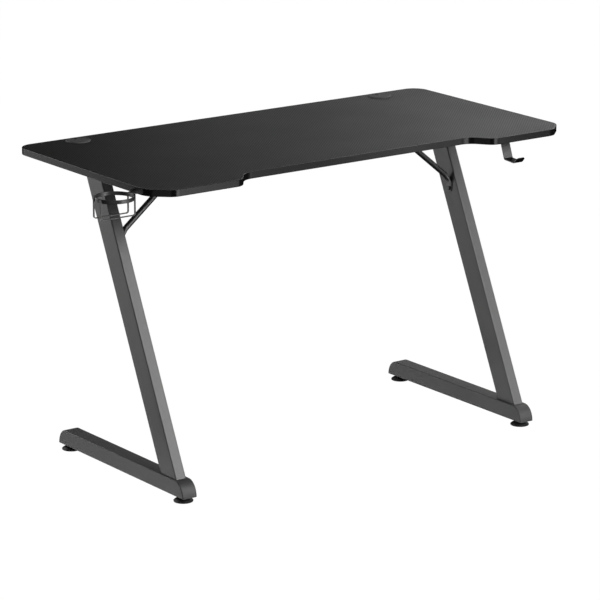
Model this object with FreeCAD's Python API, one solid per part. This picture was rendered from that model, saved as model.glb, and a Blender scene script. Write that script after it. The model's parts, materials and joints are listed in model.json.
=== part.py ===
import FreeCAD, Part
import os
import math

# Desk with two Z-shaped steel side frames.
# Frame: origin on the floor under the middle of the desktop, X to the sitter's
# right, Y away from the sitter, Z up. All lengths in millimetres.

V = FreeCAD.Vector

# ---- driving dimensions -------------------------------------------------
# desktop
TOP_L = 1200.0          # along X
TOP_D = 600.0           # along Y
TOP_Z = 750.0           # worktop height
TOP_T = 16.0            # board with film
FILM_T = 0.4            # carbon-look laminate
EDGE_T = 2.0            # edge band
EDGE_R = 0.6            # rounding of the band's outer edges
REAR_R = 40.0           # rear corner radius
CUT_X, CUT_Y = 48.7, 45.0    # front corner cut, along X and Y
CUT_R = (45.0, 35.0)    # blends of the cut at the side and at the front edge
RECESS_D = 50.0         # depth of the front recess
RECESS_X = 327.5        # half width of the recess floor
STEP = 37.5             # run of the slanting recess step
STEP_R = (33.0, 45.0)   # blends of the step at the front edge and at the recess floor

# cable grommets
GR_X, GR_Y = 450.0, 262.0
GR_FLANGE_R = 30.0
GR_SLEEVE_R = 25.0
GR_BORE_R = 23.0
GR_RECESS_R = 27.0
GR_CAP_R = 26.7
GR_SLOT_W = 14.0

# side frames
LEG_X = 503.0           # leg centre
LEG_W = 28.0            # along X
LEG_D = 60.0            # across the slope
LEG_SLOPE = 0.462       # rearward run per unit of rise
LEG_Y0 = -210.5         # leg centre line at Z = 51.3
LEG_Z0 = 51.3
TUBE_R = 3.0            # outside corner radius of the tubes
WALL = 1.5
FOOT_X = 502.0
FOOT_W = 40.0
FOOT_Z0, FOOT_Z1 = 13.0, 51.0
FOOT_Y0, FOOT_Y1 = -277.0, 260.0
NOSE = 31.0             # length of the rounded nose at each end
FOOT_WALL = 2.0
FOOT_R = 2.5
ARM_H = 30.0
ARM_Y0, ARM_Y1 = -150.0, 240.0
UNDER = TOP_Z - TOP_T   # underside of the board
ARM_Z0 = UNDER - ARM_H

# cross beam and braces
BEAM_Y = 22.5           # centre of beam and braces
BEAM_W = 30.0
PLATE_T = 3.0
PLATE_W = 80.0
BRACE_D = 14.0
BRACE_TAB_T = 2.4
BRACE_TAB_W = 19.0
BRACE_BOLT_Z = 552.0    # lower bolt on the leg
BRACE_P = (486.0, 577.9)   # two points of the rod's axis, X and Z
BRACE_Q = (390.0, 655.9)
BRACE_TOP_X = 310.0     # upper bolt under the beam

# levelling feet
PAD_R = 23.0
PAD_RIM = 2.6
PAD_H = 9.6
PAD_Y = (-250.0, 234.0)
STUD_R = 4.0
STUD_TOP = 44.0
SCREW_TRAVEL = 12.0

# cup holder at the left edge of the desktop
CUP_X, CUP_Y, CUP_Z = -648.0, -203.2, 728.0
CUP_R = 46.0
CUP_BAND_H = 9.0
CUP_BAND_T = 2.5
STRAP_W, STRAP_T = 5.0, 2.0   # two flat U straps under the ring
STRAP_DY = 14.0
STRAP_Z = 684.6
STRAP_BEND = 4.0
STRIP_W = 22.0          # bracket strip under the board
STRIP_T = 2.5
STRIP_IN = -545.0       # inner end of the strip
CUP_SCREW_X = (-584.0, -560.0)

# headphone hook
HOOK_X = 460.0
HOOK_W = 26.0
HOOK_T = 2.5
HOOK_PATH = ((-176.0, 732.75), (-219.5, 732.75), (-239.5, 678.0),
             (-275.0, 675.4), (-287.5, 688.0))
HOOK_SCREW_Y = (-186.0, -204.0)

# fasteners: positions of the screws that hold the desktop
TOP_SCREWS = [(s * LEG_X, y) for s in (-1, 1) for y in (-125.0, -45.0, 200.0)]
TOP_SCREWS += [(-200.0, BEAM_Y), (200.0, BEAM_Y)]
BEAM_BOLT_DY = 30.0
LEG_BOLT_DY = 15.0


# ---- helpers ------------------------------------------------------------
def box(x0, x1, y0, y1, z0, z1):
    return Part.makeBox(x1 - x0, y1 - y0, z1 - z0, V(x0, y0, z0))


def cyl(r, p, d, h):
    return Part.makeCylinder(r, h, V(*p), V(*d))


def rounded(pts, to3):
    """Closed wire through 2-D corners (u, v, radius), mapped to space by to3."""
    n = len(pts)
    tan = []
    for i in range(n):
        (ax, ay, _), (bx, by, r), (cx, cy, _) = pts[i - 1], pts[i], pts[(i + 1) % n]
        d1 = ((ax - bx), (ay - by))
        d2 = ((cx - bx), (cy - by))
        l1, l2 = math.hypot(*d1), math.hypot(*d2)
        d1 = (d1[0] / l1, d1[1] / l1)
        d2 = (d2[0] / l2, d2[1] / l2)
        c = d1[0] * d2[0] + d1[1] * d2[1]
        if r <= 0:
            tan.append(((bx, by), None, (bx, by)))
            continue
        half = math.acos(max(-1.0, min(1.0, c))) / 2
        t = r / math.tan(half)
        bis = (d1[0] + d2[0], d1[1] + d2[1])
        lb = math.hypot(*bis)
        k = r / math.sin(half) - r
        mid = (bx + bis[0] / lb * k, by + bis[1] / lb * k)
        tan.append(((bx + d1[0] * t, by + d1[1] * t), mid, (bx + d2[0] * t, by + d2[1] * t)))
    edges = []
    for i in range(n):
        p, m, q = tan[i]
        if m is not None:
            edges.append(Part.Arc(to3(*p), to3(*m), to3(*q)).toShape())
        nx = tan[(i + 1) % n][0]
        a, b = to3(*q), to3(*nx)
        if a.distanceToPoint(b) > 1e-6:
            edges.append(Part.LineSegment(a, b).toShape())
    return Part.Wire(edges)


def rect(u0, u1, v0, v1, r):
    return [(u1, v1, r), (u0, v1, r), (u0, v0, r), (u1, v0, r)]


def prism(pts, to3, vec):
    return Part.Face(rounded(pts, to3)).extrude(V(*vec))


def inset(pts, d):
    """Counter-clockwise corners moved inwards by d, radii kept parallel."""
    n = len(pts)
    out = []
    for i in range(n):
        (ax, ay, _), (bx, by, r), (cx, cy, _) = pts[i - 1], pts[i], pts[(i + 1) % n]
        e1 = (bx - ax, by - ay)
        e2 = (cx - bx, cy - by)
        l1, l2 = math.hypot(*e1), math.hypot(*e2)
        n1 = (-e1[1] / l1, e1[0] / l1)
        n2 = (-e2[1] / l2, e2[0] / l2)
        cr = e1[0] * e2[1] - e1[1] * e2[0]
        p1 = (bx + n1[0] * d, by + n1[1] * d)
        p2 = (bx + n2[0] * d, by + n2[1] * d)
        t = ((p2[0] - p1[0]) * e2[1] - (p2[1] - p1[1]) * e2[0]) / cr
        out.append((p1[0] + e1[0] * t, p1[1] + e1[1] * t, r - d if cr > 0 else r + d))
    return out


def hexagon(af, p, d, h):
    """Hexagonal prism of given width across flats."""
    r = af / math.sqrt(3)
    w = [V(r * math.cos(math.radians(60 * i + 30)), r * math.sin(math.radians(60 * i + 30)), 0)
         for i in range(6)]
    s = Part.Face(Part.makePolygon(w + [w[0]])).extrude(V(0, 0, h))
    s.Placement = FreeCAD.Placement(V(*p), FreeCAD.Rotation(V(0, 0, 1), V(*d)))
    return s


def nut(af, bore_r, p, d, h):
    q = tuple(p[i] - d[i] for i in range(3))
    s = hexagon(af, p, d, h)
    ball = cyl(af * 0.56, p, d, h)
    return s.common(ball).cut(cyl(bore_r, q, d, h + 2))


def hex_bolt(m_r, p, d, length, af, head):
    """p is under the head, d the way the shank goes."""
    back = tuple(p[i] - d[i] * head for i in range(3))
    h = hexagon(af, back, d, head).common(cyl(af * 0.56, back, d, head))
    return h.fuse(cyl(m_r, p, d, length)).removeSplitter()


def pan_screw(m_r, p, d, length, head_r, head, key):
    """Button head with a hexagon socket."""
    back = tuple(p[i] - d[i] * head for i in range(3))
    h = cyl(head_r, back, d, head)
    top = [e for e in h.Edges
           if e.Curve.TypeId == 'Part::GeomCircle' and
           (e.Curve.Center - V(*back)).Length < 1e-6]
    h = h.makeFillet(head * 0.55, top)
    sock = tuple(back[i] - d[i] for i in range(3))
    h = h.cut(hexagon(key, sock, d, head * 0.6 + 1))
    return h.fuse(cyl(m_r, p, d, length)).removeSplitter()


XY = lambda z: (lambda u, v: V(u, v, z))
XZ = lambda y: (lambda u, v: V(u, y, v))
YZ = lambda x: (lambda u, v: V(x, u, v))

parts = {}


def one(shape):
    """A single solid, without needless face splits."""
    s = shape.removeSplitter()
    if s.ShapeType != 'Solid' and len(s.Solids) == 1:
        s = s.Solids[0]
    return s


def group(shapes):
    return Part.makeCompound(shapes)


# ---- desktop ------------------------------------------------------------
hl, hd = TOP_L / 2, TOP_D / 2
outline = [
    (hl, hd, REAR_R), (-hl, hd, REAR_R),
    (-hl, -hd + CUT_Y, CUT_R[0]), (-hl + CUT_X, -hd, CUT_R[1]),
    (-RECESS_X - STEP, -hd, STEP_R[0]), (-RECESS_X, -hd + RECESS_D, STEP_R[1]),
    (RECESS_X, -hd + RECESS_D, STEP_R[1]), (RECESS_X + STEP, -hd, STEP_R[0]),
    (hl - CUT_X, -hd, CUT_R[1]), (hl, -hd + CUT_Y, CUT_R[0]),
]
inner = inset(outline, EDGE_T)
board = prism(inner, XY(UNDER), (0, 0, TOP_T - FILM_T))
film = prism(inner, XY(TOP_Z - FILM_T), (0, 0, FILM_T))
band_out = prism(outline, XY(UNDER), (0, 0, TOP_T))
rim = []
for e in band_out.Edges:
    b = e.BoundBox
    if b.ZLength < 1e-4:
        rim.append(e)
band_out = band_out.makeFillet(EDGE_R, rim)
band = band_out.cut(prism(inner, XY(UNDER - 1), (0, 0, TOP_T + 2)))

for s in (-1, 1):
    hole = cyl(GR_SLEEVE_R, (s * GR_X, GR_Y, UNDER - 5), (0, 0, 1), TOP_T + 10)
    board = board.cut(hole)
    film = film.cut(cyl(GR_FLANGE_R + 0.15, (s * GR_X, GR_Y, UNDER - 5), (0, 0, 1), TOP_T + 10))
for x, y in TOP_SCREWS:
    board = board.cut(cyl(5.0, (x, y, UNDER - 1), (0, 0, 1), 14.0))
for x, y in [(HOOK_X, y) for y in HOOK_SCREW_Y] + [(x, CUP_Y) for x in CUP_SCREW_X]:
    board = board.cut(cyl(2.0, (x, y, UNDER - 1), (0, 0, 1), 13.5))
parts['desktop_board'] = one(board)
parts['carbon_top_film'] = one(film)
parts['desktop_edge_band'] = one(band)

# ---- grommets -----------------------------------------------------------
FL_Z = TOP_Z + 2.4
for side, s in (('left', -1), ('right', 1)):
    c = (s * GR_X, GR_Y)
    fl = cyl(GR_FLANGE_R, (c[0], c[1], TOP_Z - FILM_T), (0, 0, 1), FL_Z - TOP_Z + FILM_T)
    e = [e for e in fl.Edges if e.BoundBox.ZLength < 1e-4 and e.BoundBox.ZMin > TOP_Z + 1]
    fl = fl.makeFillet(1.3, e)
    sl = cyl(GR_SLEEVE_R, (c[0], c[1], UNDER - 4), (0, 0, 1), TOP_T + 4)
    li = fl.fuse(sl)
    li = li.cut(cyl(GR_BORE_R, (c[0], c[1], UNDER - 6), (0, 0, 1), 40))
    li = li.cut(cyl(GR_RECESS_R, (c[0], c[1], TOP_Z + 0.8), (0, 0, 1), 10))
    parts[side + '_grommet_liner'] = one(li)
    disc = cyl(GR_CAP_R, (c[0], c[1], TOP_Z + 1.1), (0, 0, 1), 1.7)
    e = [e for e in disc.Edges if e.BoundBox.ZLength < 1e-4 and e.BoundBox.ZMin > TOP_Z + 2]
    disc = disc.makeFillet(0.8, e)
    sk = cyl(GR_BORE_R - 0.3, (c[0], c[1], TOP_Z - 9), (0, 0, 1), 10.1)
    cap = disc.fuse(sk).cut(cyl(GR_BORE_R - 2.0, (c[0], c[1], TOP_Z - 10), (0, 0, 1), 10.8))
    y0 = c[1] + 9.7 + GR_SLOT_W / 2
    cap = cap.cut(box(c[0] - GR_SLOT_W / 2, c[0] + GR_SLOT_W / 2, y0, c[1] + 40, TOP_Z - 20, TOP_Z + 20))
    cap = cap.cut(cyl(GR_SLOT_W / 2, (c[0], y0, TOP_Z - 20), (0, 0, 1), 40))
    parts[side + '_grommet_cap'] = one(cap)

# ---- legs ---------------------------------------------------------------
ANG = math.degrees(math.atan(LEG_SLOPE))


def leg_y(z):
    return LEG_Y0 + LEG_SLOPE * (z - LEG_Z0)


def leg_prism(x, w, d, r):
    s = prism(rect(-w / 2, w / 2, -d / 2, d / 2, r), XY(-200), (0, 0, 1400))
    s.rotate(V(0, 0, 0), V(1, 0, 0), -ANG)
    s.translate(V(x, leg_y(0.0), 0))
    return s


leg_bolt_pos = []
base_plates = []
for side, s in (('left', -1), ('right', 1)):
    x = s * LEG_X
    slab = box(x - 60, x + 60, -600, 600, FOOT_Z1, ARM_Z0)
    hollow = leg_prism(x, LEG_W - 2 * WALL, LEG_D - 2 * WALL, TUBE_R - WALL)
    tube = leg_prism(x, LEG_W, LEG_D, TUBE_R).cut(hollow).common(slab)
    # hole for the brace bolt in the inner wall
    tube = tube.cut(cyl(3.3, (s * (LEG_X - LEG_W / 2 - 2), BEAM_Y, BRACE_BOLT_Z), (s, 0, 0), 5))
    parts[side + '_leg_tube'] = one(tube)
    plate = hollow.common(box(x - 60, x + 60, -600, 600, FOOT_Z1, FOOT_Z1 + 6))
    for dy in (-LEG_BOLT_DY, LEG_BOLT_DY):
        p = (x, LEG_Y0 + dy)
        leg_bolt_pos.append(p)
        plate = plate.cut(cyl(4.0, (p[0], p[1], FOOT_Z1 - 1), (0, 0, 1), 9))
    base_plates.append(one(plate))
parts['leg_base_plates'] = group(base_plates)

# ---- floor bars ---------------------------------------------------------
def nose_profile(x, y0, y1, z0, z1, a, tail):
    """Side outline: quarter-ellipse noses, drawn down past the sole by tail."""
    er = Part.Ellipse(V(x, y1 - a, z1), V(x, y1, z0), V(x, y1 - a, z0))
    ef = Part.Ellipse(V(x, y0 + a, z1), V(x, y0, z0), V(x, y0 + a, z0))
    zb = z0 - tail
    ed = [Part.LineSegment(V(x, y0, zb), V(x, y1, zb)).toShape(),
          Part.ArcOfEllipse(er, 0, math.pi / 2).toShape(),
          Part.LineSegment(V(x, y1 - a, z1), V(x, y0 + a, z1)).toShape(),
          Part.ArcOfEllipse(ef, 0, math.pi / 2).toShape()]
    if tail > 0:
        ed += [Part.LineSegment(V(x, y1, zb), V(x, y1, z0)).toShape(),
               Part.LineSegment(V(x, y0, zb), V(x, y0, z0)).toShape()]
    return Part.Face(Part.Wire(Part.__sortEdges__(ed)))


for side, s in (('left', -1), ('right', 1)):
    xc = s * FOOT_X
    x0, x1 = xc - FOOT_W / 2, xc + FOOT_W / 2
    out = nose_profile(x0, FOOT_Y0, FOOT_Y1, FOOT_Z0, FOOT_Z1, NOSE, 8.0).extrude(V(FOOT_W, 0, 0))
    long_edges = [e for e in out.Edges
                  if e.BoundBox.XLength < 1e-4 and e.BoundBox.ZMax > FOOT_Z0 - 7.0]
    out = out.makeFillet(FOOT_R, long_edges)
    # rounded lower corners of the tube, flat sole
    out = out.common(prism([(x1, 200, 0), (x0, 200, 0), (x0, FOOT_Z0, FOOT_R), (x1, FOOT_Z0, FOOT_R)],
                           XZ(FOOT_Y0 - 5), (0, FOOT_Y1 - FOOT_Y0 + 10, 0)))
    w = FOOT_WALL
    cav = nose_profile(x0 + w, FOOT_Y0 + w, FOOT_Y1 - w, FOOT_Z0 + w, FOOT_Z1 - w, NOSE - w, 0.0)
    foot = out.cut(cav.extrude(V(FOOT_W - 2 * w, 0, 0)))
    for y in PAD_Y:
        foot = foot.cut(cyl(4.6, (xc, y, FOOT_Z0 - 1), (0, 0, 1), 4))
    for px, py in leg_bolt_pos:
        if px * s > 0:
            foot = foot.cut(cyl(8.0, (px, py, FOOT_Z0 - 1), (0, 0, 1), 4))
            foot = foot.cut(cyl(4.3, (px, py, FOOT_Z1 - 3), (0, 0, 1), 4))
    parts[side + '_floor_bar'] = one(foot)
parts['leg_bolts'] = group([hex_bolt(3.95, (px, py, FOOT_Z1 - FOOT_WALL), (0, 0, 1), 12.0, 13.0, 5.3)
                            for px, py in leg_bolt_pos])

# ---- top arms -----------------------------------------------------------
caps = []
beam_nuts, beam_bolts = [], []
for side, s in (('left', -1), ('right', 1)):
    x = s * LEG_X
    sec = rect(x - LEG_W / 2, x + LEG_W / 2, ARM_Z0, UNDER, TUBE_R)
    sic = rect(x - LEG_W / 2 + WALL, x + LEG_W / 2 - WALL, ARM_Z0 + WALL, UNDER - WALL, TUBE_R - WALL)
    arm = prism(sec, XZ(ARM_Y0), (0, ARM_Y1 - ARM_Y0, 0)).cut(
        prism(sic, XZ(ARM_Y0 - 1), (0, ARM_Y1 - ARM_Y0 + 2, 0)))
    for sx, sy in TOP_SCREWS:
        if abs(sx - x) < 1:
            arm = arm.cut(cyl(3.3, (sx, sy, ARM_Z0 - 1), (0, 0, 1), ARM_H + 2))
    zi = s * (LEG_X - LEG_W / 2)          # inner face of the arm
    for dy in (-BEAM_BOLT_DY, BEAM_BOLT_DY):
        zc = ARM_Z0 + ARM_H / 2
        arm = arm.cut(cyl(3.3, (zi - s * 2, BEAM_Y + dy, zc), (s, 0, 0), 5))
        beam_nuts.append(nut(10.0, 3.0, (zi + s * WALL, BEAM_Y + dy, zc), (s, 0, 0), 5.0))
        beam_bolts.append(hex_bolt(2.95, (zi - s * PLATE_T, BEAM_Y + dy, zc), (s, 0, 0), 14.0, 10.0, 4.0))
    parts[side + '_top_arm'] = one(arm)
    for y, d in ((ARM_Y0, -1), (ARM_Y1, 1)):
        f = prism(sec, XZ(y), (0, d * 1.8, 0))
        e = [e for e in f.Edges if e.BoundBox.YLength < 1e-4 and abs(e.BoundBox.YMin - (y + d * 1.8)) < 1e-3]
        f = f.makeFillet(1.0, e)
        plug = prism(rect(x - LEG_W / 2 + 1.8, x + LEG_W / 2 - 1.8, ARM_Z0 + 1.8, UNDER - 1.8, 1.5), XZ(y), (0, -d * 12.0, 0))
        cav = prism(rect(x - LEG_W / 2 + 3.6, x + LEG_W / 2 - 3.6, ARM_Z0 + 3.6, UNDER - 3.6, 1.0), XZ(y - d * 1.0), (0, -d * 12.0, 0))
        caps.append(one(f.fuse(plug).cut(cav)))
parts['arm_end_caps'] = group(caps)
parts['beam_bolts'] = group(beam_bolts)
parts['beam_weld_nuts'] = group(beam_nuts)

# ---- cross beam and its end plates --------------------------------------
bx = LEG_X - LEG_W / 2 - PLATE_T
beam = prism(rect(BEAM_Y - BEAM_W / 2, BEAM_Y + BEAM_W / 2, ARM_Z0, UNDER, TUBE_R), YZ(-bx), (2 * bx, 0, 0)).cut(
    prism(rect(BEAM_Y - BEAM_W / 2 + WALL, BEAM_Y + BEAM_W / 2 - WALL, ARM_Z0 + WALL, UNDER - WALL,
               TUBE_R - WALL), YZ(-bx - 1), (2 * bx + 2, 0, 0)))
for s in (-1, 1):
    beam = beam.cut(cyl(3.3, (s * BRACE_TOP_X, BEAM_Y, ARM_Z0 - 1), (0, 0, 1), 4))
    beam = beam.cut(cyl(3.3, (s * 200.0, BEAM_Y, ARM_Z0 - 1), (0, 0, 1), ARM_H + 2))
parts['cross_beam'] = one(beam)
for side, s in (('left', -1), ('right', 1)):
    p = prism(rect(BEAM_Y - PLATE_W / 2, BEAM_Y + PLATE_W / 2, ARM_Z0, UNDER, 4.0), YZ(s * bx), (s * PLATE_T, 0, 0))
    for dy in (-BEAM_BOLT_DY, BEAM_BOLT_DY):
        p = p.cut(cyl(3.3, (s * (bx - 1), BEAM_Y + dy, ARM_Z0 + ARM_H / 2), (s, 0, 0), PLATE_T + 2))
    parts[side + '_beam_plate'] = one(p)

# ---- braces -------------------------------------------------------------
brace_bolts, brace_nuts = [], []
du = math.hypot(BRACE_Q[0] - BRACE_P[0], BRACE_Q[1] - BRACE_P[1])
ux, uz = (BRACE_Q[0] - BRACE_P[0]) / du, (BRACE_Q[1] - BRACE_P[1]) / du
nx, nz = uz, -ux                           # across the rod, up and outwards
hw = BRACE_TAB_W / 2
leg_in = LEG_X - LEG_W / 2
r = BRACE_D / 2


def ring_wire(cx, cz, rad):
    c = V(cx, BEAM_Y, cz)
    n_, y_ = V(nx, 0, nz), V(0, 1, 0)
    q = math.sqrt(0.5) * rad
    k = [c + n_ * q - y_ * q, c + n_ * q + y_ * q, c - n_ * q + y_ * q, c - n_ * q - y_ * q]
    m = [c + n_ * rad, c + y_ * rad, c - n_ * rad, c - y_ * rad]
    return Part.Wire([Part.Arc(k[i], m[i], k[(i + 1) % 4]).toShape() for i in range(4)])


def quad_wire(k):
    return Part.Wire([Part.LineSegment(k[i], k[(i + 1) % 4]).toShape() for i in range(4)])


tab_top = 566.0
low = prism([(BEAM_Y + hw, tab_top, 0), (BEAM_Y - hw, tab_top, 0),
             (BEAM_Y - hw, BRACE_BOLT_Z - hw, hw - 0.01), (BEAM_Y + hw, BRACE_BOLT_Z - hw, hw - 0.01)],
            YZ(leg_in - BRACE_TAB_T), (BRACE_TAB_T, 0, 0))
A = (BRACE_P[0] + ux * 15.0, BRACE_P[1] + uz * 15.0)
zt = ARM_Z0 - BRACE_TAB_T / 2
kx = BRACE_P[0] + (zt - BRACE_P[1]) / uz * ux
B = (kx - ux * 22.0, zt - uz * 22.0)
tab_x = kx - 9.0
up = prism([(BRACE_TOP_X - hw, BEAM_Y - hw, hw - 0.01), (tab_x, BEAM_Y - hw, 0),
            (tab_x, BEAM_Y + hw, 0), (BRACE_TOP_X - hw, BEAM_Y + hw, hw - 0.01)],
           XY(ARM_Z0 - BRACE_TAB_T), (0, 0, BRACE_TAB_T))
lo_quad = quad_wire([V(leg_in, BEAM_Y - hw, tab_top), V(leg_in, BEAM_Y + hw, tab_top),
                     V(leg_in - BRACE_TAB_T, BEAM_Y + hw, tab_top), V(leg_in - BRACE_TAB_T, BEAM_Y - hw, tab_top)])
up_quad = quad_wire([V(tab_x, BEAM_Y - hw, ARM_Z0), V(tab_x, BEAM_Y + hw, ARM_Z0),
                     V(tab_x, BEAM_Y + hw, ARM_Z0 - BRACE_TAB_T), V(tab_x, BEAM_Y - hw, ARM_Z0 - BRACE_TAB_T)])
loft_lo = Part.makeLoft([lo_quad, ring_wire(A[0], A[1], r)], True, True)
loft_up = Part.makeLoft([ring_wire(B[0], B[1], r), up_quad], True, True)
rod_len = math.hypot(B[0] - A[0], B[1] - A[1])
rod = cyl(r, (A[0], BEAM_Y, A[1]), (ux, 0, uz), rod_len)
brace = low.fuse([loft_lo, rod, loft_up, up]).removeSplitter()
brace = brace.cut(cyl(3.2, (leg_in - 6, BEAM_Y, BRACE_BOLT_Z), (1, 0, 0), 12))
brace = brace.cut(cyl(3.2, (BRACE_TOP_X, BEAM_Y, ARM_Z0 - 6), (0, 0, 1), 12))
brace = brace.cut(cyl(r - 1.2, (A[0] + ux * 2, BEAM_Y, A[1] + uz * 2), (ux, 0, uz), rod_len - 4))
brace = one(brace)
parts['right_brace'] = brace
parts['left_brace'] = brace.mirror(V(0, 0, 0), V(1, 0, 0))
for s in (-1, 1):
    brace_bolts.append(hex_bolt(2.95, (s * (leg_in - BRACE_TAB_T), BEAM_Y, BRACE_BOLT_Z), (s, 0, 0), 12.0, 10.0, 4.0))
    brace_bolts.append(hex_bolt(2.95, (s * BRACE_TOP_X, BEAM_Y, ARM_Z0 - BRACE_TAB_T), (0, 0, 1), 12.0, 10.0, 4.0))
    brace_nuts.append(nut(10.0, 3.0, (s * (leg_in + WALL), BEAM_Y, BRACE_BOLT_Z), (s, 0, 0), 5.0))
    brace_nuts.append(nut(10.0, 3.0, (s * BRACE_TOP_X, BEAM_Y, ARM_Z0 + WALL), (0, 0, 1), 5.0))
parts['brace_bolts'] = group(brace_bolts)
parts['brace_weld_nuts'] = group(brace_nuts)

# ---- desktop screws and inserts -----------------------------------------
screws, inserts = [], []
for x, y in TOP_SCREWS:
    screws.append(pan_screw(2.95, (x, y, ARM_Z0), (0, 0, 1), ARM_H + 11.0, 6.0, 3.6, 4.0))
    inserts.append(cyl(5.0, (x, y, UNDER), (0, 0, 1), 12.0).cut(cyl(3.0, (x, y, UNDER - 1), (0, 0, 1), 14)))
parts['desktop_screws'] = group(screws)
parts['desktop_inserts'] = group(inserts)

# ---- levelling feet -----------------------------------------------------
weld_nuts = []
for end, y in (('front', PAD_Y[0]), ('rear', PAD_Y[1])):
    for side, s in (('left', -1), ('right', 1)):
        x = s * FOOT_X
        # pad: flat sole, low rim, domed back with a bore for the screw's journal
        e = [Part.LineSegment(V(5.05, 0, 3.0), V(0, 0, 3.0)).toShape(),
             Part.LineSegment(V(0, 0, 3.0), V(0, 0, 0)).toShape(),
             Part.LineSegment(V(0, 0, 0), V(PAD_R - 0.6, 0, 0)).toShape(),
             Part.Arc(V(PAD_R - 0.6, 0, 0), V(PAD_R - 0.18, 0, 0.18), V(PAD_R, 0, 0.6)).toShape(),
             Part.LineSegment(V(PAD_R, 0, 0.6), V(PAD_R, 0, PAD_RIM)).toShape(),
             Part.Arc(V(PAD_R, 0, PAD_RIM), V(17.8, 0, 6.3), V(10.2, 0, PAD_H - 0.9)).toShape(),
             Part.LineSegment(V(10.2, 0, PAD_H - 0.9), V(9.2, 0, PAD_H)).toShape(),
             Part.LineSegment(V(9.2, 0, PAD_H), V(5.05, 0, PAD_H)).toShape(),
             Part.LineSegment(V(5.05, 0, PAD_H), V(5.05, 0, 3.0)).toShape()]
        pad = Part.Face(Part.Wire(Part.__sortEdges__(e))).revolve(V(0, 0, 0), V(0, 0, 1), 360)
        pad.translate(V(x, y, 0))
        parts['%s_%s_pad' % (end, side)] = one(pad)
        # screw: journal in the pad, hexagon collar, threaded shank
        st = cyl(5.0, (x, y, 3.1), (0, 0, 1), PAD_H - 3.1 + 0.1)
        st = st.fuse(nut(13.0, 0.5, (x, y, PAD_H + 0.1), (0, 0, 1), 2.8).fuse(
            cyl(4.0, (x, y, PAD_H + 0.1), (0, 0, 1), 2.8)))
        st = st.fuse(cyl(STUD_R, (x, y, PAD_H + 0.1), (0, 0, 1), STUD_TOP - PAD_H - 0.1))
        top = [ed for ed in st.Edges if ed.BoundBox.ZMin > STUD_TOP - 0.01]
        st = st.makeChamfer(0.8, top)
        parts['%s_%s_screw' % (end, side)] = one(st)
        weld_nuts.append(nut(13.0, STUD_R + 0.06, (x, y, FOOT_Z0 + FOOT_WALL), (0, 0, 1), 6.5))
parts['leveller_weld_nuts'] = group(weld_nuts)

# ---- cup holder ---------------------------------------------------------
def strap(path, t, rad):
    """Outline of a bent strip of thickness t about a centre line."""
    n = len(path)
    left, right = [], []
    for i in range(n):
        if 0 < i < n - 1:
            a, b_, c = path[i - 1], path[i], path[i + 1]
            d1 = (b_[0] - a[0], b_[1] - a[1])
            d2 = (c[0] - b_[0], c[1] - b_[1])
            l1, l2 = math.hypot(*d1), math.hypot(*d2)
            d1 = (d1[0] / l1, d1[1] / l1)
            d2 = (d2[0] / l2, d2[1] / l2)
            cr = d1[0] * d2[1] - d1[1] * d2[0]
            mx, my = -(d1[1] + d2[1]), d1[0] + d2[0]
            lm = math.hypot(mx, my)
            k = (t / 2) / (lm / 2)
            ox, oy = mx / lm * k, my / lm * k
            left.append((b_[0] + ox, b_[1] + oy, rad if cr > 0 else rad + t))
            right.append((b_[0] - ox, b_[1] - oy, rad + t if cr > 0 else rad))
        else:
            a, b_ = (path[0], path[1]) if i == 0 else (path[-2], path[-1])
            d = (b_[0] - a[0], b_[1] - a[1])
            l = math.hypot(*d)
            o = (-d[1] / l * t / 2, d[0] / l * t / 2)
            left.append((path[i][0] + o[0], path[i][1] + o[1], 0))
            right.append((path[i][0] - o[0], path[i][1] - o[1], 0))
    return left + right[::-1]


z0 = CUP_Z - CUP_BAND_H / 2
ring = cyl(CUP_R, (CUP_X, CUP_Y, z0), (0, 0, 1), CUP_BAND_H).cut(
    cyl(CUP_R - CUP_BAND_T, (CUP_X, CUP_Y, z0 - 1), (0, 0, 1), CUP_BAND_H + 2))
ring = ring.makeFillet(0.6, [e for e in ring.Edges if e.BoundBox.ZLength < 1e-4])
parts['cup_ring'] = one(ring)
# the straps' rounded edges lie against the ring, where they are welded
sx = math.sqrt(CUP_R ** 2 - (STRAP_DY - STRAP_W / 2) ** 2) - 0.045 + STRAP_T / 2
for name, dy in (('cup_front_strap', -STRAP_DY), ('cup_rear_strap', STRAP_DY)):
    y = CUP_Y + dy - STRAP_W / 2
    top = CUP_Z + CUP_BAND_H / 2 - 0.6
    line = ((CUP_X - sx, top), (CUP_X - sx, STRAP_Z), (CUP_X + sx, STRAP_Z), (CUP_X + sx, top))
    u = prism(strap(line, STRAP_T, STRAP_BEND), XZ(y), (0, STRAP_W, 0))
    parts[name] = one(u.makeFillet(0.3, [e for e in u.Edges if abs(e.BoundBox.YLength) < 1e-4 and e.Length > 4.0]))
# bracket: strip screwed under the board, its end turned down and welded to the ring
h = STRIP_W / 2
strip = prism([(STRIP_IN, CUP_Y + h, 6.0), (CUP_X + CUP_R - 4.0, CUP_Y + h, 0),
               (CUP_X + CUP_R - 4.0, CUP_Y - h, 0), (STRIP_IN, CUP_Y - h, 6.0)],
              XY(UNDER - STRIP_T), (0, 0, STRIP_T))
strip = strip.fuse(box(CUP_X + CUP_R - 4.0, CUP_X + CUP_R + STRIP_T, CUP_Y - h, CUP_Y + h,
                       CUP_Z - CUP_BAND_H / 2, UNDER))
bend = [e for e in strip.removeSplitter().Edges
        if e.BoundBox.YLength > STRIP_W - 0.1 and abs(e.BoundBox.XMin - (CUP_X + CUP_R + STRIP_T)) < 0.01
        and abs(e.BoundBox.ZMin - (UNDER - STRIP_T)) < 0.01]
strip = strip.removeSplitter().makeFillet(2.0, bend)
strip = strip.cut(cyl(CUP_R, (CUP_X, CUP_Y, CUP_Z - 40), (0, 0, 1), 80))
for x in CUP_SCREW_X:
    strip = strip.cut(cyl(2.3, (x, CUP_Y, UNDER - 10), (0, 0, 1), 20))
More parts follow.
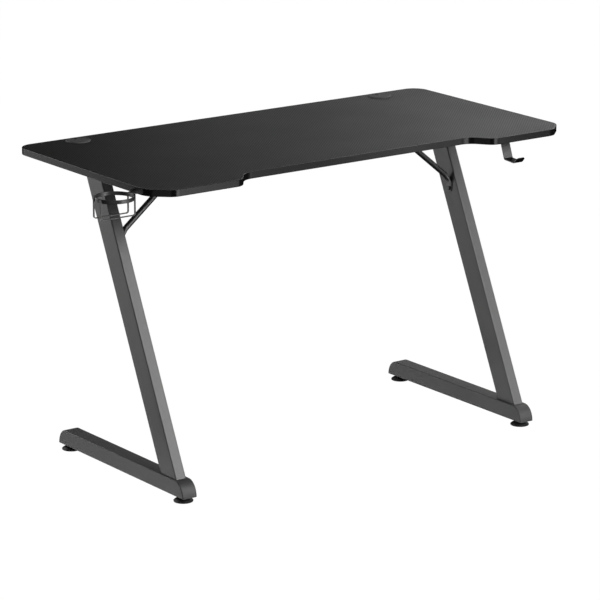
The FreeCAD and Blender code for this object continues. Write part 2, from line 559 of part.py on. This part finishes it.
parts['cup_bracket'] = one(strip)
parts['cup_screws'] = group([pan_screw(1.95, (x, CUP_Y, UNDER - STRIP_T), (0, 0, 1), STRIP_T + 11.0, 4.2, 2.6, 2.5)
                             for x in CUP_SCREW_X])

# ---- headphone hook -----------------------------------------------------
hook = prism(strap(HOOK_PATH, HOOK_T, 3.0), YZ(HOOK_X - HOOK_W / 2), (HOOK_W, 0, 0))
tip = HOOK_PATH[-1]
ends = []
for e in hook.Edges:
    b = e.BoundBox
    if b.XLength < 1e-4 and abs(e.Length - HOOK_T) < 0.01:
        if b.YMax < tip[0] + 3 or b.YMin > HOOK_PATH[0][0] - 0.5:
            ends.append(e)
hook = hook.makeFillet(7.0, ends)
for y in HOOK_SCREW_Y:
    hook = hook.cut(cyl(2.3, (HOOK_X, y, UNDER - 6), (0, 0, 1), 12))
parts['headphone_hook'] = one(hook)
parts['hook_screws'] = group([pan_screw(1.95, (HOOK_X, y, UNDER - HOOK_T), (0, 0, 1), HOOK_T + 11.0, 4.2, 2.6, 2.5)
                              for y in HOOK_SCREW_Y])

# ---- write --------------------------------------------------------------
os.makedirs("parts", exist_ok=True)
for name in sorted(parts):
    shape = parts[name]
    bad = [i for i, s in enumerate(shape.Solids) if not s.isValid() or s.Volume <= 0]
    bb = shape.optimalBoundingBox(False)
    print('%-22s solids %2d  vol %10.1f  x %.1f..%.1f y %.1f..%.1f z %.1f..%.1f %s' % (
        name, len(shape.Solids), shape.Volume, bb.XMin, bb.XMax, bb.YMin, bb.YMax, bb.ZMin, bb.ZMax,
        'INVALID %s' % bad if bad else ''))
    shape.exportStep(os.path.join("parts", name + ".step"))
print(len(parts), 'nodes')
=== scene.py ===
import json
import math

import bmesh
import bpy
from mathutils import Matrix, Vector


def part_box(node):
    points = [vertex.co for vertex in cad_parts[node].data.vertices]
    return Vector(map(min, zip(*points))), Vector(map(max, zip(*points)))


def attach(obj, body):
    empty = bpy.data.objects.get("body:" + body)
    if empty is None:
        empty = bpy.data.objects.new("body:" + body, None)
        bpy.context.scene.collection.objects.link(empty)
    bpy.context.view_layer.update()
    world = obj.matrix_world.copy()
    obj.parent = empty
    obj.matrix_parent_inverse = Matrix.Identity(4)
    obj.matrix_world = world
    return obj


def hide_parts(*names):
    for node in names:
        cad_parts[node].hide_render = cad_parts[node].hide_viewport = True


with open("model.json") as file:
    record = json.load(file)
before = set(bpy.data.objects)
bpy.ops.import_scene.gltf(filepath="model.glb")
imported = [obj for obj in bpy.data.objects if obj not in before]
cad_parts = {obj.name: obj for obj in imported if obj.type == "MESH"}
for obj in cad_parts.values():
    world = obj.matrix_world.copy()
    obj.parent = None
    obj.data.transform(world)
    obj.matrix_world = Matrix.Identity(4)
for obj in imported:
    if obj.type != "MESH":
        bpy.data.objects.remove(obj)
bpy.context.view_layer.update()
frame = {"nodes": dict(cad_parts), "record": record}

NODES = frame["nodes"]
scene = bpy.context.scene


# ---------------------------------------------------------------- node helpers
class Tree:
    """Small helper that adds shader nodes and links them."""

    def __init__(self, name):
        self.mat = bpy.data.materials.new(name)
        self.mat.use_nodes = True
        self.t = self.mat.node_tree
        self.t.nodes.clear()
        self.out = self.t.nodes.new("ShaderNodeOutputMaterial")
        self.bsdf = self.t.nodes.new("ShaderNodeBsdfPrincipled")
        self.t.links.new(self.bsdf.outputs[0], self.out.inputs["Surface"])
        self.obj = self.t.nodes.new("ShaderNodeTexCoord").outputs["Object"]

    def link(self, a, b):
        self.t.links.new(a, b)

    def put(self, socket, v):
        if isinstance(v, (int, float)):
            socket.default_value = v
        elif isinstance(v, (tuple, list)):
            socket.default_value = v
        else:
            self.t.links.new(v, socket)

    def math(self, op, a, b=None, clamp=False):
        n = self.t.nodes.new("ShaderNodeMath")
        n.operation = op
        n.use_clamp = clamp
        self.put(n.inputs[0], a)
        if b is not None:
            self.put(n.inputs[1], b)
        return n.outputs[0]

    def vmath(self, op, a, b):
        n = self.t.nodes.new("ShaderNodeVectorMath")
        n.operation = op
        self.put(n.inputs[0], a)
        self.put(n.inputs[1], b)
        return n.outputs[0]

    def xyz(self, v):
        n = self.t.nodes.new("ShaderNodeSeparateXYZ")
        self.put(n.inputs[0], v)
        return n.outputs[0], n.outputs[1], n.outputs[2]

    def noise(self, scale, detail=3.0, rough=0.5, vec=None):
        n = self.t.nodes.new("ShaderNodeTexNoise")
        self.put(n.inputs["Vector"], self.obj if vec is None else vec)
        n.inputs["Scale"].default_value = scale
        n.inputs["Detail"].default_value = detail
        n.inputs["Roughness"].default_value = rough
        return n.outputs["Fac"]

    def voronoi(self, scale, feature="F1", vec=None):
        n = self.t.nodes.new("ShaderNodeTexVoronoi")
        n.feature = feature
        self.put(n.inputs["Vector"], self.obj if vec is None else vec)
        n.inputs["Scale"].default_value = scale
        return n.outputs["Distance"]

    def ramp(self, fac, lo, hi, a=0.0, b=1.0):
        """Maps fac from a..b to lo..hi."""
        n = self.t.nodes.new("ShaderNodeMapRange")
        n.clamp = True
        self.put(n.inputs["Value"], fac)
        n.inputs["From Min"].default_value = a
        n.inputs["From Max"].default_value = b
        n.inputs["To Min"].default_value = lo
        n.inputs["To Max"].default_value = hi
        return n.outputs["Result"]

    def colours(self, fac, c0, c1):
        n = self.t.nodes.new("ShaderNodeMix")
        n.data_type = "RGBA"
        n.clamp_factor = True
        self.put(n.inputs[0], fac)
        self.put(n.inputs[6], c0 if not isinstance(c0, tuple) else (*c0, 1.0))
        self.put(n.inputs[7], c1 if not isinstance(c1, tuple) else (*c1, 1.0))
        return n.outputs[2]

    def bump(self, height, strength, distance, normal=None):
        n = self.t.nodes.new("ShaderNodeBump")
        n.inputs["Strength"].default_value = strength
        n.inputs["Distance"].default_value = distance
        self.put(n.inputs["Height"], height)
        if normal is not None:
            self.put(n.inputs["Normal"], normal)
        return n.outputs[0]

    def set(self, **kw):
        for k, v in kw.items():
            self.put(self.bsdf.inputs[k.replace("_", " ")], v)
        return self.mat


def grey(v):
    return (v, v, v)


# ---------------------------------------------------------------- materials
def carbon_film():
    """Satin laminate with a 2/2 twill of 2 mm tows, printed and lightly embossed."""
    m = Tree("carbon_film")
    x, y, _ = m.xyz(m.vmath("MULTIPLY", m.obj, (500.0, 500.0, 500.0)))
    i, j = m.math("FLOOR", x), m.math("FLOOR", y)
    fu = m.math("SUBTRACT", m.math("SUBTRACT", x, i), 0.5)
    fv = m.math("SUBTRACT", m.math("SUBTRACT", y, j), 0.5)
    a = m.math("FLOORED_MODULO", m.math("SUBTRACT", y, i), 4.0)
    b = m.math("FLOORED_MODULO", m.math("SUBTRACT", x, j), 4.0)
    warp = m.math("LESS_THAN", a, 2.0)

    def tow(across, along, mid):
        c = m.math("SUBTRACT", 1.0, m.math("MULTIPLY", m.math("MULTIPLY", across, across), 2.2))
        d = m.math("SUBTRACT", along, mid)
        e = m.math("SUBTRACT", 1.0, m.math("MULTIPLY", m.math("MULTIPLY", d, d), 0.45))
        return m.math("MULTIPLY", c, e)

    hw, hf = tow(fu, a, 1.0), tow(fv, b, 2.0)
    height = m.math("ADD", m.math("MULTIPLY", hw, warp),
                    m.math("MULTIPLY", hf, m.math("SUBTRACT", 1.0, warp)))
    fibres_w = m.noise(1.0, 2.0, 0.6, m.vmath("MULTIPLY", m.obj, (9000.0, 350.0, 1.0)))
    fibres_f = m.noise(1.0, 2.0, 0.6, m.vmath("MULTIPLY", m.obj, (350.0, 9000.0, 1.0)))
    fib = m.math("ADD", m.math("MULTIPLY", fibres_w, warp),
                 m.math("MULTIPLY", fibres_f, m.math("SUBTRACT", 1.0, warp)))
    tone = m.math("ADD", m.math("MULTIPLY", warp, 0.45), m.math("MULTIPLY", height, 0.35))
    tone = m.math("ADD", tone, m.math("MULTIPLY", fib, 0.25))
    cloud = m.noise(4.0, 3.0)
    col = m.colours(tone, grey(FILM_LO), grey(FILM_HI))
    rough = m.math("ADD", m.ramp(warp, FILM_ROUGH + FILM_TWILL, FILM_ROUGH - FILM_TWILL),
                   m.ramp(cloud, -0.02, 0.02, 0.3, 0.7))
    m.set(Base_Color=col, Roughness=rough, Normal=m.bump(height, 0.16, 0.00006))
    m.bsdf.inputs["Specular IOR Level"].default_value = FILM_SPEC
    return m.mat


def powder_coat(name, lo, hi, rough, spec=0.5, grain=1.0):
    """Fine-textured powder coat: orange-peel bumps of about a millimetre and a faint cloudiness."""
    m = Tree(name)
    cloud = m.noise(7.0, 4.0, 0.55)
    peel = m.noise(1100.0, 2.0, 0.5)
    fine = m.noise(3200.0, 1.0, 0.5)
    mix = m.math("ADD", m.math("MULTIPLY", cloud, 0.65), m.math("MULTIPLY", peel, 0.35))
    col = m.colours(m.ramp(mix, 0.0, 1.0, 0.3, 0.7), grey(lo), grey(hi))
    r = m.math("ADD", m.ramp(peel, rough - 0.05, rough + 0.05, 0.3, 0.7), m.ramp(cloud, -0.03, 0.03, 0.3, 0.7))
    h = m.math("ADD", m.math("MULTIPLY", peel, 0.7), m.math("MULTIPLY", fine, 0.3))
    m.set(Base_Color=col, Roughness=r, Normal=m.bump(h, 0.35 * grain, 0.00012))
    m.bsdf.inputs["Specular IOR Level"].default_value = spec
    return m.mat


def moulded(name, lo, hi, rough, spec=0.5, scale=1500.0, depth=0.00008, strength=0.3):
    """Moulded plastic with a fine spark-eroded grain."""
    m = Tree(name)
    cells = m.voronoi(scale)
    cloud = m.noise(22.0, 3.0)
    fine = m.noise(scale * 1.7, 2.0)
    col = m.colours(m.math("ADD", m.math("MULTIPLY", cloud, 0.7), m.math("MULTIPLY", fine, 0.3)), grey(lo), grey(hi))
    r = m.math("ADD", m.ramp(cells, rough - 0.04, rough + 0.05, 0.1, 0.6), m.ramp(cloud, -0.03, 0.03, 0.3, 0.7))
    m.set(Base_Color=col, Roughness=r, Normal=m.bump(cells, strength, depth))
    m.bsdf.inputs["Specular IOR Level"].default_value = spec
    return m.mat


def edge_band():
    """Extruded edge band: faint lines along its length over a fine grain."""
    m = Tree("edge_abs")
    _, _, z = m.xyz(m.obj)
    lines = m.noise(1.0, 2.0, 0.6, m.vmath("MULTIPLY", m.obj, (18.0, 18.0, 2600.0)))
    fine = m.noise(1900.0, 2.0)
    cloud = m.noise(9.0, 3.0)
    col = m.colours(m.math("ADD", m.math("MULTIPLY", lines, 0.5), m.math("MULTIPLY", cloud, 0.5)),
                    grey(BAND_LO), grey(BAND_HI))
    r = m.math("ADD", m.ramp(fine, BAND_ROUGH - 0.04, BAND_ROUGH + 0.04, 0.3, 0.7), m.ramp(cloud, -0.02, 0.02, 0.3, 0.7))
    h = m.math("ADD", m.math("MULTIPLY", lines, 0.6), m.math("MULTIPLY", fine, 0.4))
    m.set(Base_Color=col, Roughness=r, Normal=m.bump(h, 0.18, 0.00006))
    m.bsdf.inputs["Specular IOR Level"].default_value = BAND_SPEC
    return m.mat


def plated(name, lo, hi, rough):
    """Zinc plating: faint streaks and blotches on metal."""
    m = Tree(name)
    blot = m.noise(260.0, 4.0, 0.6)
    streak = m.noise(1.0, 3.0, 0.6, m.vmath("MULTIPLY", m.obj, (2400.0, 2400.0, 160.0)))
    f = m.math("ADD", m.math("MULTIPLY", blot, 0.6), m.math("MULTIPLY", streak, 0.4))
    col = m.colours(m.ramp(f, 0.0, 1.0, 0.3, 0.7), grey(lo), grey(hi))
    m.set(Base_Color=col, Roughness=m.ramp(f, rough - 0.07, rough + 0.07, 0.3, 0.7),
          Normal=m.bump(streak, 0.15, 0.00004))
    m.bsdf.inputs["Metallic"].default_value = 1.0
    return m.mat


def board():
    """Particleboard with a black backing sheet on its underside; chips show only in the holes and rims."""
    m = Tree("particleboard")
    geo = m.t.nodes.new("ShaderNodeNewGeometry")
    _, _, nz = m.xyz(geo.outputs["True Normal"])
    under = m.math("LESS_THAN", nz, -0.7)
    chips = m.voronoi(420.0)
    fleck = m.noise(900.0, 3.0, 0.6)
    wood = m.colours(m.math("ADD", m.math("MULTIPLY", chips, 0.8), m.math("MULTIPLY", fleck, 0.5)),
                     (0.22, 0.135, 0.07), (0.56, 0.40, 0.24))
    grain = m.noise(1400.0, 2.0)
    cloud = m.noise(5.0, 3.0)
    sheet = m.colours(m.math("ADD", m.math("MULTIPLY", grain, 0.4), m.math("MULTIPLY", cloud, 0.6)),
                      grey(0.016), grey(0.032))
    col = m.colours(under, wood, sheet)
    r = m.math("SUBTRACT", 0.82, m.math("MULTIPLY", under, m.ramp(grain, 0.26, 0.18, 0.3, 0.7)))
    h = m.math("ADD", m.math("MULTIPLY", grain, under),
               m.math("MULTIPLY", chips, m.math("SUBTRACT", 1.0, under)))
    m.set(Base_Color=col, Roughness=r, Normal=m.bump(h, 0.25, 0.0001))
    return m.mat


FILM_LO, FILM_HI, FILM_ROUGH, FILM_SPEC = 0.001, 0.004, 0.55, 0.31
FILM_TWILL = 0.045
BAND_LO, BAND_HI, BAND_ROUGH, BAND_SPEC = 0.003, 0.005, 0.17, 0.18

MATS = {
    "carbon_film": carbon_film(),
    "edge_abs": edge_band(),
    "particleboard": board(),
    "black_powder_coat": powder_coat("black_powder_coat", 0.002, 0.006, 0.34, 0.62),
    "grommet_plastic": moulded("grommet_plastic", 0.028, 0.036, 0.65, 0.4),
    "black_plastic": moulded("black_plastic", 0.012, 0.020, 0.5),
    "pad_rubber": moulded("pad_rubber", 0.003, 0.006, 0.58, 0.4, 900.0),
    "black_zinc": plated("black_zinc", 0.055, 0.10, 0.36),
    "bright_zinc": plated("bright_zinc", 0.46, 0.62, 0.30),
}
# the same black coat in one copy per part: each copy is smoother or rougher, and its base tone is painted lighter or
# darker to stand in for the light or shade that part gets
COAT_LIT_SHADED_COPIES = {
    "leg_tube": powder_coat("powder_coat_leg", 0.034, 0.047, 0.34, 0.5),
    "floor_bar": powder_coat("powder_coat_bar", 0.014, 0.023, 0.60, 0.65),
    "brace": powder_coat("powder_coat_brace", 0.011, 0.017, 0.34, 0.8),
    "cup": powder_coat("powder_coat_cup", 0.018, 0.026, 0.34, 0.5),
}
RIM = moulded("grommet_rim", 0.035, 0.046, 0.58, 0.45)
for part in frame["record"]["subparts"]:
    o = NODES[part["node"]]
    mat = RIM if "grommet_liner" in part["node"] else MATS[part["material_slot"]]
    # each part in the black coat gets its own copy, with painted light or shade in the base tone
    if part["material_slot"] == "black_powder_coat":
        for word, coat in COAT_LIT_SHADED_COPIES.items():
            if word in part["node"]:
                mat = coat
    o.data.materials.clear()
    o.data.materials.append(mat)

# ---------------------------------------------------------------- modelled pieces
def new_piece(name, verts, faces, mat, body, sharp=35.0):
    """Adds a mesh piece that rides on a body and shades sharp only at real corners."""
    pm = bpy.data.meshes.new(name)
    pm.from_pydata(verts, [], faces)
    pm.validate()
    b = bmesh.new()
    b.from_mesh(pm)
    bmesh.ops.recalc_face_normals(b, faces=b.faces)
    b.to_mesh(pm)
    b.free()
    pm.materials.append(mat)
    for poly in pm.polygons:
        poly.use_smooth = True
    pm.set_sharp_from_angle(angle=math.radians(sharp))
    po = bpy.data.objects.new(name, pm)
    scene.collection.objects.link(po)
    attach(po, body)
    return po


def lathe(rows, cx, cy, seg):
    """Closed solid from rows of (z, radius function of the turn angle)."""
    verts, faces = [], []
    for z, rad in rows:
        for k in range(seg):
            t = 2.0 * math.pi * k / seg
            q = rad(t)
            verts.append((cx + q * math.cos(t), cy + q * math.sin(t), z))
    for n in range(len(rows) - 1):
        for k in range(seg):
            k1 = (k + 1) % seg
            faces.append((n * seg + k, n * seg + k1, (n + 1) * seg + k1, (n + 1) * seg + k))
    faces.append(tuple(reversed(range(seg))))
    faces.append(tuple(range((len(rows) - 1) * seg, len(rows) * seg)))
    return verts, faces


def levelling_screw(end):
    """M8 levelling screw: journal, chamfered hexagon collar and a rolled thread of 1.25 mm pitch."""
    lo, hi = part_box(end + "_screw")
    cx, cy = (lo[0] + hi[0]) / 2, (lo[1] + hi[1]) / 2
    z0, z1 = lo[2], hi[2]
    mm, seg, pitch, crest, depth = 0.001, 48, 1.25, 3.99, 0.62
    collar = 9.7 * mm

    def ring(q):
        return lambda t: q * mm

    def hexagon(cap):
        def q(t):
            a = (t + math.pi / 6) % (math.pi / 3) - math.pi / 6
            return min(6.5 / math.cos(a), cap) * mm
        return q

    def thread(z, full):
        def q(t):
            p = ((z - collar) / mm / pitch - t / (2 * math.pi)) % 1.0
            if p < 0.25:
                g = 1.0
            elif p < 0.5625:
                g = 1.0 - (p - 0.25) / 0.3125
            elif p < 0.6875:
                g = 0.0
            else:
                g = (p - 0.6875) / 0.3125
            return (crest - depth * (g * full + (1.0 - full))) * mm
        return q

    rows = [(z0, ring(4.6)), (z0 + 0.4 * mm, ring(5.0)), (collar, ring(5.0)),
            (collar, hexagon(6.9)), (collar + 0.35 * mm, hexagon(7.45)),
            (collar + 2.45 * mm, hexagon(7.45)), (collar + 2.8 * mm, hexagon(6.7)),
            (collar + 2.8 * mm, ring(crest - depth))]
    z = collar + 3.1 * mm
    while z < z1 - 0.85 * mm:
        run = (z - collar) / mm - 3.1
        left = (z1 - 0.85 * mm - z) / mm
        rows.append((z, thread(z, max(0.0, min(1.0, run / 1.2, 0.3 + left / 0.8)))))
        z += pitch / 8 * mm
    rows += [(z1 - 0.8 * mm, ring(crest - depth)), (z1, ring(3.0))]
    verts, faces = lathe(rows, cx, cy, seg)
    piece = new_piece(end + "_screw_threaded", verts, faces, MATS["black_zinc"], end + "_stem")
    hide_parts(end + "_screw")


for end in ("front_left", "front_right", "rear_left", "rear_right"):
    levelling_screw(end)


def fillet_weld(name, p0, p1, ta, tb, size):
    """Weld bead in the corner of two faces, from p0 to p1: ta and tb point along the faces, away from the corner."""
    p0, p1, ta, tb = Vector(p0), Vector(p1), Vector(ta).normalized(), Vector(tb).normalized()
    run = (p1 - p0).length
    n = max(24, int(run / 0.00028))
    out = (ta + tb).normalized()
    verts, faces = [], []
    arc = 9
    for k in range(n + 1):
        f = k / n
        d = f * run
        edge = min(d, run - d)
        taper = math.sqrt(max(0.0, 1.0 - max(0.0, 1.0 - edge / (size * 0.9)) ** 2)) * 0.97 + 0.03
        ripple = 1.0 + 0.07 * math.cos(2 * math.pi * d / 0.0017) + 0.05 * math.sin(2 * math.pi * d / 0.0093 + 1.3)
        s = size * taper * ripple
        c = p0.lerp(p1, f)
        a, b = c + ta * s, c + tb * s
        verts.append(c - out * 0.0006)
        for q in range(arc):
            u = q / (arc - 1)
            verts.append(a.lerp(b, u) + out * (s * 0.24 * math.sin(math.pi * u)) - out * (0.0003 if q in (0, arc - 1) else 0.0))
    w = arc + 1
    for k in range(n):
        for q in range(w):
            q1 = (q + 1) % w
            faces.append((k * w + q, k * w + q1, (k + 1) * w + q1, (k + 1) * w + q))
    faces.append(tuple(reversed(range(w))))
    faces.append(tuple(range(n * w, (n + 1) * w)))
    new_piece(name, [tuple(v) for v in verts], faces, MATS["black_powder_coat"], "frame", 60.0)


# the legs are welded under the arms, the beam to its end plates
for side, s in (("left", -1.0), ("right", 1.0)):
    lo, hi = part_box(side + "_leg_tube")
    arm_lo, arm_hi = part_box(side + "_top_arm")
    slope = 0.462
    half = 0.5 * 0.060 * math.sqrt(1.0 + slope * slope)
    yc = hi[1] - half
    down = Vector((0.0, -slope, -1.0))
    x0, x1 = lo[0] + 0.0032, hi[0] - 0.0032
    z = arm_lo[2]
    fillet_weld(side + "_leg_weld_front", (x0, yc - half, z), (x1, yc - half, z), (0, -1, 0), down, 0.0042)
    fillet_weld(side + "_leg_weld_rear", (x0, yc + half, z), (x1, yc + half, z), (0, 1, 0), down, 0.0036)
    plate_lo, plate_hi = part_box(side + "_beam_plate")
    beam_lo, beam_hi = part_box("cross_beam")
    face = plate_hi[0] if s < 0 else plate_lo[0]
    for tag, y, d in (("front", beam_lo[1], -1.0), ("rear", beam_hi[1], 1.0)):
        fillet_weld(f"{side}_beam_weld_{tag}", (face, y, beam_lo[2] + 0.0035), (face, y, beam_hi[2] - 0.0035),
                    (-s, 0, 0), (0, d, 0), 0.0038)

# ---------------------------------------------------------------- stage, camera, light
FLOOR = 40.0
me = bpy.data.meshes.new("floor")
bm = bmesh.new()
bmesh.ops.create_grid(bm, x_segments=8, y_segments=8, size=FLOOR)
bm.to_mesh(me)
bm.free()
floor = bpy.data.objects.new("floor", me)
floor.location = (0.0, 0.0, -0.0126)   # just below the lowest reach of the levelling feet
scene.collection.objects.link(floor)
# the floor is there for the eye: it neither tints the object from below nor shades it
floor.visible_diffuse = floor.visible_glossy = floor.visible_transmission = floor.visible_shadow = False


def floor_material():
    """Pale studio floor that just reads as white, so that it does not eat into thin parts; seen from below it is clear."""
    mat = bpy.data.materials.new("pale_floor")
    mat.use_nodes = True
    t = mat.node_tree
    t.nodes.clear()
    N, L = t.nodes.new, t.links.new
    out = N("ShaderNodeOutputMaterial")
    tex = N("ShaderNodeTexNoise")
    tex.inputs["Scale"].default_value = 3.0
    mix = N("ShaderNodeMix")
    mix.data_type = "RGBA"
    mix.inputs[6].default_value = (0.010, 0.010, 0.010, 1)
    mix.inputs[7].default_value = (0.012, 0.012, 0.012, 1)
    L(tex.outputs["Fac"], mix.inputs[0])
    pale = N("ShaderNodeBsdfDiffuse")
    L(mix.outputs[2], pale.inputs["Color"])
    lift = N("ShaderNodeEmission")
    lift.inputs["Strength"].default_value = FLOOR_LIFT
    add = N("ShaderNodeAddShader")
    L(pale.outputs[0], add.inputs[0])
    L(lift.outputs[0], add.inputs[1])
    dull = N("ShaderNodeBsdfDiffuse")
    dull.inputs["Color"].default_value = (FLOOR_BOUNCE, FLOOR_BOUNCE, FLOOR_BOUNCE, 1)
    path = N("ShaderNodeLightPath")
    seen = N("ShaderNodeMixShader")
    L(path.outputs["Is Camera Ray"], seen.inputs[0])
    L(dull.outputs[0], seen.inputs[1])
    L(add.outputs[0], seen.inputs[2])
    clear = N("ShaderNodeBsdfTransparent")
    geo = N("ShaderNodeNewGeometry")
    side = N("ShaderNodeMixShader")
    L(geo.outputs["Backfacing"], side.inputs[0])
    L(seen.outputs[0], side.inputs[1])
    L(clear.outputs[0], side.inputs[2])
    L(side.outputs[0], out.inputs["Surface"])
    return mat


FLOOR_LIFT, FLOOR_BOUNCE, AMBIENT = 1.0, 0.35, 0.0005
me.materials.append(floor_material())

world = bpy.data.worlds.new("studio")
scene.world = world
world.use_nodes = True
wt = world.node_tree
wt.nodes.clear()
wo = wt.nodes.new("ShaderNodeOutputWorld")
white = wt.nodes.new("ShaderNodeBackground")
white.inputs["Strength"].default_value = 1.0
dim = wt.nodes.new("ShaderNodeBackground")
dim.inputs["Strength"].default_value = AMBIENT
dim.name = "dim"
wp = wt.nodes.new("ShaderNodeLightPath")
wm = wt.nodes.new("ShaderNodeMixShader")
wt.links.new(wp.outputs["Is Camera Ray"], wm.inputs[0])
wt.links.new(dim.outputs[0], wm.inputs[1])
wt.links.new(white.outputs[0], wm.inputs[2])
wt.links.new(wm.outputs[0], wo.inputs["Surface"])

# soft boxes round the desk, a third as wide as they are far: (azimuth, elevation, distance in m, watts);
# azimuth 0 is in front of the desk, 90 to its right
LIGHTS = [
    (-170, -35, 3.0, 10.90), (-120, -35, 3.0, 29.45), (-145, -12, 3.0, 3.83), (-120, -12, 3.0, 2.67),
    (8, -12, 3.0, 20.71), (28, -12, 3.0, 4.31), (48, -12, 3.0, 0.95), (-170, 10, 3.0, 3.38),
    (-145, 10, 3.0, 23.57), (40, 10, 3.0, 8.84), (100, 10, 3.0, 5.58), (125, 10, 3.0, 1.91),
    (145, 10, 3.0, 2.68), (-145, 30, 3.0, 17.98), (100, 30, 3.0, 11.34), (125, 30, 3.0, 7.33),
    (90, 55, 3.0, 9.38), (130, 55, 3.0, 2.41), (5, 10, 8.0, 41.10), (35, 10, 8.0, 31.36),
    (5, 25, 8.0, 156.37), (20, 25, 8.0, 246.83), (50, 25, 8.0, 46.79), (5, 40, 8.0, 155.95),
    (-35, 24, 8.0, 45.0), (-78, 24, 8.0, 28.0),
]
# narrow strip lights at the height of the edge band, which mirrors them: (azimuth, elevation, width, height, watts)
STRIPS = [
    (21, -6.5, 0.52, 0.35, 1.64), (35, -6.5, 0.21, 0.35, 0.12), (38.7, -6.5, 0.28, 0.35, 0.82), (44.6, -6.5, 0.35, 0.35, 0.33),
    (-56, -6.5, 0.90, 0.40, 0.68), (-42, -6.5, 0.60, 0.40, 0.45), (-146, -6.0, 0.30, 0.35, 0.40),
]
for az, el, dist, wide, high, power in ([(a, e, r, r / 3.0, r / 3.0, p) for a, e, r, p in LIGHTS]
                                        + [(a, e, 3.0, w, h, p) for a, e, w, h, p in STRIPS]):
    d = bpy.data.lights.new(f"soft_box_{az}_{el}_{int(dist)}", "AREA")
    d.shape = "RECTANGLE"
    d.size, d.size_y, d.energy = wide, high, power
    o = bpy.data.objects.new(d.name, d)
    a, e = math.radians(az), math.radians(el)
    way = Vector((math.sin(a) * math.cos(e), -math.cos(a) * math.cos(e), math.sin(e)))
    o.location = Vector((0.0, 0.0, 0.45)) + way * dist
    o.rotation_euler = way.to_track_quat("Z", "Y").to_euler()
    o.visible_camera = False
    scene.collection.objects.link(o)

cam = bpy.data.cameras.new("camera")
cam.lens = 193.27
cam.sensor_width = 36.0
cam.clip_end = 200.0
co = bpy.data.objects.new("camera", cam)
co.location = (-4.41688, -6.10341, 2.38569)
co.rotation_euler = (math.radians(74.839), 0.0, math.radians(-35.96))
scene.collection.objects.link(co)
scene.camera = co

scene.view_settings.view_transform = "Standard"
scene.view_settings.look = "None"
